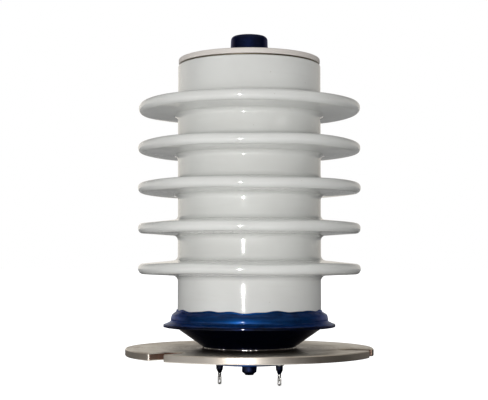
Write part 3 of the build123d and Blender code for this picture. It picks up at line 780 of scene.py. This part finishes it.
for side in ("right", "left"):
    bead_low, bead_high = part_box(f"terminal_bead_{side}")
    bead_x = (bead_low.x + bead_high.x) / 2
    bead_r = (bead_high.x - bead_low.x) / 2
    drop = header_z - bead_low.z
    bead_swell = waves(70 + len(side), (2, 3, 5), 0.06 * MM)
    bead = turned(
        f"enamelled_bead_{side}",
        rounded([
            (0, bead_low.z - 0.1 * MM, 0),
            (bead_r * 0.46, bead_low.z, 0.35 * MM),
            (bead_r * 0.98, bead_low.z + 0.42 * drop, 2.0 * MM),
            (bead_r * 1.04, header_z - 0.25 * drop, 1.5 * MM),
            (bead_r * 0.94, header_z + 0.3 * MM, 0.3 * MM),
            (bead_r * 0.94, header_z + 5 * MM, 0),
            (0, header_z + 5 * MM, 0),
        ], longest=0.6 * MM),
        72,
        centre=(bead_x, 0.0),
        closed=False,
        change=lambda angle, r, z, swell=bead_swell: (r + swell(angle + 300 * z) * min(1.0, r / MM), z),
    )
    place(bead, "navy_enamel", [f"terminal_bead_{side}"], terminal_enamel)

SLOT_STEPS = 64
TAG_HALF_THICKNESS = 0.4 * MM
CRIMP_LENGTH = 1.9 * MM  # from the blade's top to the tag's
EYE_WIDTH, EYE_HEIGHT, EYE_Z = 0.95 * MM, 1.9 * MM, 2.3 * MM


def stadium(centre_x, centre_z, width, height):
    """SLOT_STEPS points round an upright slot shape."""
    points = []
    straight = (height - width) / 2
    for n in range(SLOT_STEPS):
        angle = TURN * (n + 0.5) / SLOT_STEPS
        lift = straight if sin(angle) > 0 else -straight
        points.append((centre_x + width / 2 * cos(angle), centre_z + lift + width / 2 * sin(angle)))
    return points


for side in ("right", "left"):
    tag_low, tag_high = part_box(f"solder_tag_{side}")
    tag_x = (tag_low.x + tag_high.x) / 2
    width = tag_high.x - tag_low.x
    blade_top = tag_high.z - CRIMP_LENGTH
    outer = stadium(tag_x, (tag_low.z + blade_top) / 2, width, blade_top - tag_low.z)
    inner = stadium(tag_x, tag_low.z + EYE_Z, EYE_WIDTH, EYE_HEIGHT)
    sides = (-TAG_HALF_THICKNESS, TAG_HALF_THICKNESS)
    verts = [(x, y, z) for y in sides for loop in (outer, inner) for x, z in loop]
    faces = []  # a and b are loops: outer and inner in front, then outer and inner behind
    for n in range(SLOT_STEPS):
        m = (n + 1) % SLOT_STEPS
        for a, b in ((0, 1), (1, 3), (3, 2), (2, 0)):
            faces.append((a * SLOT_STEPS + n, a * SLOT_STEPS + m, b * SLOT_STEPS + m, b * SLOT_STEPS + n))
    blade = solid(f"tag_blade_{side}", verts, faces)
    bevel = blade.modifiers.new("edge", "BEVEL")
    bevel.width, bevel.segments, bevel.angle_limit = 0.12 * MM, 3, radians(50)
    place(blade, "tag_metal", [f"solder_tag_{side}"])
    crimp = turned(
        f"tag_crimp_{side}",
        rounded([
            (0, tag_high.z - 3.0 * MM, 0),
            (0.75 * MM, tag_high.z - 3.0 * MM, 0.3 * MM),
            (1.2 * MM, tag_high.z - 2.2 * MM, 0.4 * MM),
            (1.0 * MM, tag_high.z - 1.6 * MM, 0.3 * MM),
            (1.25 * MM, tag_high.z - 1.0 * MM, 0.3 * MM),
            (1.2 * MM, tag_high.z - 0.1 * MM, 0.3 * MM),
            (0, tag_high.z + 0.1 * MM, 0),
        ], longest=0.3 * MM),
        48,
        centre=(tag_x, 0.0),
        closed=False,
    )
    place(crimp, "tag_metal")

# ------------------------------------------------------------------- CAD nodes that show with better looks
node_slots = {entry["node"]: entry["material_slot"] for entry in frame["record"]["subparts"]}
for name, node in frame["nodes"].items():
    node.data.materials.clear()
    node.data.materials.append(slot_materials[node_slots[name]])

# ---------------------------------------------------------------------------------------------------- floor
CAMERA_AZIMUTH = radians(15)
POOL_AZIMUTH = CAMERA_AZIMUTH - radians(25)
FLOOR_REACH = 14.0
FLOOR_GAP = 0.2 * MM  # below the lowest tag

floor_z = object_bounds()[0].z - FLOOR_GAP
floor = bpy.data.objects.new("floor", bpy.data.meshes.new("floor"))
floor.data.from_pydata(
    [(x * FLOOR_REACH, y * FLOOR_REACH, floor_z) for x, y in ((-1, -1), (1, -1), (1, 1), (-1, 1))],
    [],
    [(0, 1, 2, 3)],
)
bpy.context.scene.collection.objects.link(floor)

# The floor is pale to the camera and in diffuse light. Glossy surfaces see it dark near the object and
# brighter further out, with a pool of light to the front left.
floor_shader = Shader("pale_floor", Roughness=0.9)
rays = floor_shader.node("ShaderNodeLightPath").outputs
floor_shader.colour(floor_shader.blend(rays["Is Glossy Ray"], (0.72, 0.72, 0.72), (0.08, 0.08, 0.08)))
outward = floor_shader.node("ShaderNodeVectorMath", operation="NORMALIZE")
floor_shader.feed(outward.inputs[0], floor_shader.coordinates)
towards_pool = floor_shader.along(outward.outputs[0], (sin(POOL_AZIMUTH), -cos(POOL_AZIMUTH), 0.0))
pool = floor_shader.span(towards_pool, 0.2, 1.0, 0.0, 0.9)
far_table = floor_shader.span(floor_shader.radius(), 0.5, 1.0, 0.0, 0.20)
seen_glow = floor_shader.math("MULTIPLY", rays["Is Camera Ray"], 0.95)
glossy_glow = floor_shader.math("MULTIPLY", rays["Is Glossy Ray"], floor_shader.math("ADD", pool, far_table))
glow = floor_shader.node("ShaderNodeEmission")
glow.inputs["Color"].default_value = (1.0, 1.0, 1.0, 1.0)
floor_shader.feed(glow.inputs["Strength"], floor_shader.math("ADD", seen_glow, glossy_glow))
both = floor_shader.node("ShaderNodeAddShader")
floor_shader.feed(both.inputs[0], floor_shader.bsdf.outputs[0])
floor_shader.feed(both.inputs[1], glow.outputs[0])
output = next(n for n in floor_shader.tree.nodes if n.type == "OUTPUT_MATERIAL")
floor_shader.feed(output.inputs["Surface"], both.outputs[0])
floor.data.materials.append(floor_shader.material)

# --------------------------------------------------------------------------------------------------- camera
CAMERA_DISTANCE = 825 * MM
CAMERA_HEIGHT = 63 * MM
LENS = 87.05
SENSOR_WIDTH = 36.0
UP_PITCH = radians(3.1)
LEFT_YAW = radians(0.257)

away = Vector((sin(CAMERA_AZIMUTH), -cos(CAMERA_AZIMUTH), 0))
right = Vector((cos(CAMERA_AZIMUTH), sin(CAMERA_AZIMUTH), 0))
camera = bpy.data.objects.new("camera", bpy.data.cameras.new("camera"))
bpy.context.scene.collection.objects.link(camera)
bpy.context.scene.camera = camera
camera.data.sensor_width = SENSOR_WIDTH
camera.data.lens = LENS
camera.location = away * CAMERA_DISTANCE + Vector((0, 0, CAMERA_HEIGHT))
aim = (-away * cos(LEFT_YAW) - right * sin(LEFT_YAW)) * cos(UP_PITCH) + Vector((0, 0, sin(UP_PITCH)))
camera.rotation_mode = "QUATERNION"
camera.rotation_quaternion = aim.to_track_quat("-Z", "Y")
camera.data.clip_start, camera.data.clip_end = 0.01, 100.0

# --------------------------------------------------------------------------------------------------- lights
LIGHT_DISTANCE = 0.83
LIGHT_AIM = Vector((0, 0, 0.1))
LIGHT_COLOUR = (1.0, 0.995, 0.98)


def area_light(name, azimuth, height, size, power, shape="ELLIPSE"):
    """A soft light at an azimuth to the right of the camera, aimed at the object's middle."""
    made = bpy.data.objects.new(name, bpy.data.lights.new(name, "AREA"))
    bpy.context.scene.collection.objects.link(made)
    turn = CAMERA_AZIMUTH + radians(azimuth)
    made.location = Vector((sin(turn) * LIGHT_DISTANCE, -cos(turn) * LIGHT_DISTANCE, height))
    made.rotation_mode = "QUATERNION"
    made.rotation_quaternion = (LIGHT_AIM - made.location).to_track_quat("-Z", "Y")
    made.data.shape = shape
    made.data.size, made.data.size_y = size
    made.data.energy = power
    made.data.color = LIGHT_COLOUR
    return made


key = area_light("key", -8.9, 0.056, (0.022, 0.080), 2.9)
key_on_rim = area_light("key_on_rim", -7.5, -0.010, (0.30, 0.014), 1.7)
area_light("tube", 51, 0.256, (0.26, 0.010), 0.02, "RECTANGLE")

# The key light would skim the flange's flat top and burn it out in views from behind. So it leaves the
# flange to a lower light, which only meets the flange's edge.
for lamp, state in ((key, "EXCLUDE"), (key_on_rim, "INCLUDE")):
    lit = bpy.data.collections.new(f"{lamp.name}_receivers")
    lit.objects.link(frame["nodes"]["mounting_flange"])
    lit.collection_objects[0].light_linking.link_state = state
    lamp.light_linking.receiver_collection = lit

# The world is white to the camera. Glossy rays see a low bright wall behind the object, a dimmer panel high
# on the camera's side and a dome overhead. Diffuse light comes from all round, with more from above and
# behind and a little more from the left.
world = bpy.data.worlds.new("studio")
bpy.context.scene.world = world
world.use_nodes = True
world.node_tree.nodes.clear()
studio = Nodes(world.node_tree, "Generated")
rays = studio.node("ShaderNodeLightPath").outputs


def facing(direction):
    """How far a ray's direction points along the given one, -1 to 1."""
    return studio.along(studio.coordinates, direction)


UP = (0, 0, 1)
behind = studio.span(facing(-away), 0.0, 0.7)
low_down = studio.span(facing(UP), 0.12, 0.55, 1.0, 0.0)
left_to_right = studio.span(facing(-right), -0.2, 0.2, 0.60, 0.88)
wall_behind = studio.math("MULTIPLY", studio.math("MULTIPLY", behind, low_down), left_to_right)
raised = studio.span(facing(UP), 0.10, 0.35, 0.0, 0.24)
panel = studio.math("MULTIPLY", raised, studio.span(facing(away), -0.2, 0.6))
dome = studio.span(facing(UP), 0.35, 0.85, 0.045, 0.42)
glossy_light = studio.math("ADD", studio.math("ADD", wall_behind, panel), dome)
from_left = studio.math("MULTIPLY", facing(-right), 0.09)
from_behind = studio.math("MULTIPLY", studio.span(facing(-away), 0.0, 1.0), 0.24)
from_above = studio.span(facing(UP), 0.40, 0.95, 0.25, 0.60)
diffuse_light = studio.math("ADD", studio.math("ADD", from_left, from_behind), from_above)
glossy = studio.math("MULTIPLY", rays["Is Glossy Ray"], glossy_light)
diffuse = studio.math("MULTIPLY", studio.math("SUBTRACT", 1.0, rays["Is Glossy Ray"]), diffuse_light)
not_seen = studio.math("SUBTRACT", 1.0, rays["Is Camera Ray"])
unseen_light = studio.math("MULTIPLY", not_seen, studio.math("ADD", glossy, diffuse))
background = studio.node("ShaderNodeBackground")
warmth = studio.blend(rays["Is Glossy Ray"], (1.0, 1.0, 1.0), (1.0, 0.95, 0.87))
studio.feed(background.inputs["Color"], warmth)
studio.feed(background.inputs["Strength"], studio.math("ADD", rays["Is Camera Ray"], unseen_light))
world_output = studio.node("ShaderNodeOutputWorld")
studio.feed(world_output.inputs["Surface"], background.outputs[0])

bpy.context.scene.view_settings.view_transform = "Standard"
